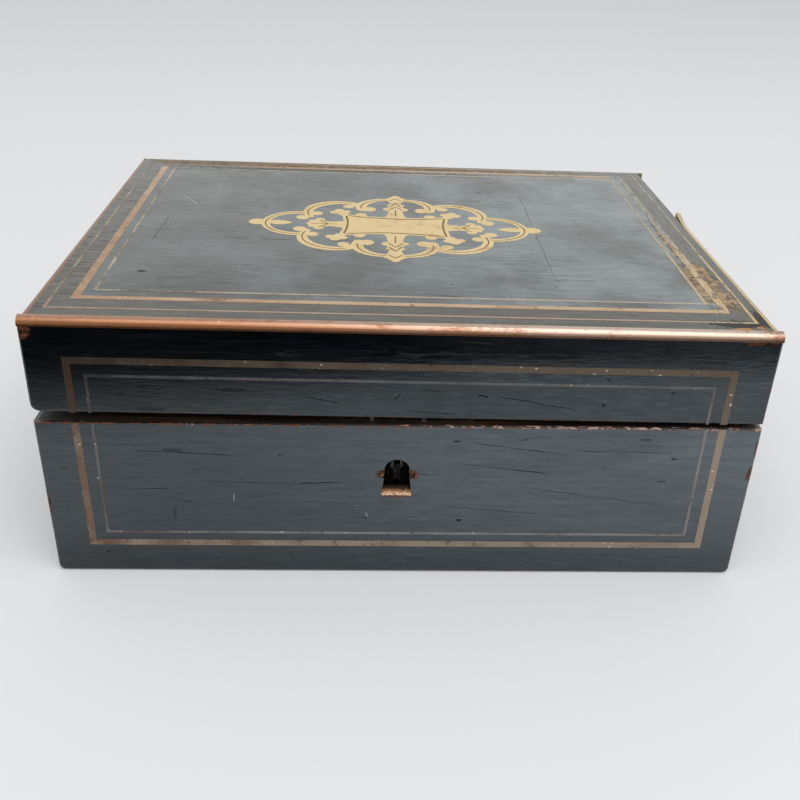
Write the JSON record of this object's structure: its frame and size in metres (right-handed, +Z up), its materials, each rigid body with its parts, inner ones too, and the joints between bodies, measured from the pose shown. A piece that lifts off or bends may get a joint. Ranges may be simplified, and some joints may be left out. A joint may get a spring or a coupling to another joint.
{
  "type": "decorative box",
  "caption": "Rectangular ebonised wooden box with metal stringing, an inlaid brass cartouche on the hinged lid, a front keyhole with a sliding lock bolt and a lined inside.",
  "frame": {"origin": "middle of the underside, between the outer faces of the box", "axes": "+X to the right seen from the front, +Y to the back where the hinges are, +Z up"},
  "size_m": [0.2526, 0.1941, 0.1016],
  "materials": {
    "ebonised_veneer": "ebonised, worn polish",
    "carcass_wood": "bare softwood",
    "stringing": "tarnished",
    "inlay_brass": "engraved, dulled",
    "edge_metal": "copper-coloured, worn",
    "hinge_brass": "plain",
    "lock_steel": "dull iron",
    "nail_iron": "rusty",
    "lining": "dark red cloth on card"
  },
  "bodies": {
    "base": {"base_back_board": "carcass_wood", "base_back_veneer": "ebonised_veneer", "base_bottom_board": "carcass_wood", "base_floor_lining": "lining", "base_front_board": "carcass_wood", "base_front_veneer": "ebonised_veneer", "base_left_board": "carcass_wood", "base_left_veneer": "ebonised_veneer", "base_right_board": "carcass_wood", "base_right_veneer": "ebonised_veneer", "base_thin_stringing": "stringing", "base_wall_linings": "lining", "base_wide_stringing": "stringing", "bottom_nails": "nail_iron", "hinge_base_screws": "hinge_brass", "hinge_left_base_leaf": "hinge_brass", "hinge_left_pin": "hinge_brass", "hinge_right_base_leaf": "hinge_brass", "hinge_right_pin": "hinge_brass", "lock_cap": "lock_steel", "lock_case": "lock_steel", "lock_key_pin": "lock_steel", "lock_screws": "lock_steel", "lock_spring": "lock_steel"},
    "lid": {"bead_pins": "edge_metal", "cartouche_inlay": "inlay_brass", "hinge_left_lid_leaf": "hinge_brass", "hinge_lid_screws": "hinge_brass", "hinge_right_lid_leaf": "hinge_brass", "lid_back_bead": "edge_metal", "lid_back_rail": "carcass_wood", "lid_back_veneer": "ebonised_veneer", "lid_border_back_veneer": "ebonised_veneer", "lid_border_front_veneer": "ebonised_veneer", "lid_border_left_veneer": "ebonised_veneer", "lid_border_right_veneer": "ebonised_veneer", "lid_ceiling_lining": "lining", "lid_field_veneer": "ebonised_veneer", "lid_front_bead": "edge_metal", "lid_front_rail": "carcass_wood", "lid_front_thin_stringing": "stringing", "lid_front_veneer": "ebonised_veneer", "lid_front_wide_stringing": "stringing", "lid_left_bead": "edge_metal", "lid_left_rail": "carcass_wood", "lid_left_veneer": "ebonised_veneer", "lid_right_bead": "edge_metal", "lid_right_rail": "carcass_wood", "lid_right_veneer": "ebonised_veneer", "lid_top_board": "carcass_wood", "lid_wall_linings": "lining", "strike_plate": "lock_steel", "strike_screws": "lock_steel", "top_inner_stringing": "stringing", "top_outer_stringing": "stringing", "top_wide_stringing": "stringing"},
    "bolt": {"lock_bolt": "lock_steel"}
  },
  "joints": [
    {"name": "lid_hinge", "type": "hinge", "parent": "base", "child": "lid", "pos_m": [0, 0.0944, 0.0634], "axis": [-1, 0, 0], "range_deg": [0, 100]},
    {"name": "lock_bolt_slide", "type": "slide", "parent": "base", "child": "bolt", "axis": [1, 0, 0], "range_m": [0, 0.004]}
  ]
}
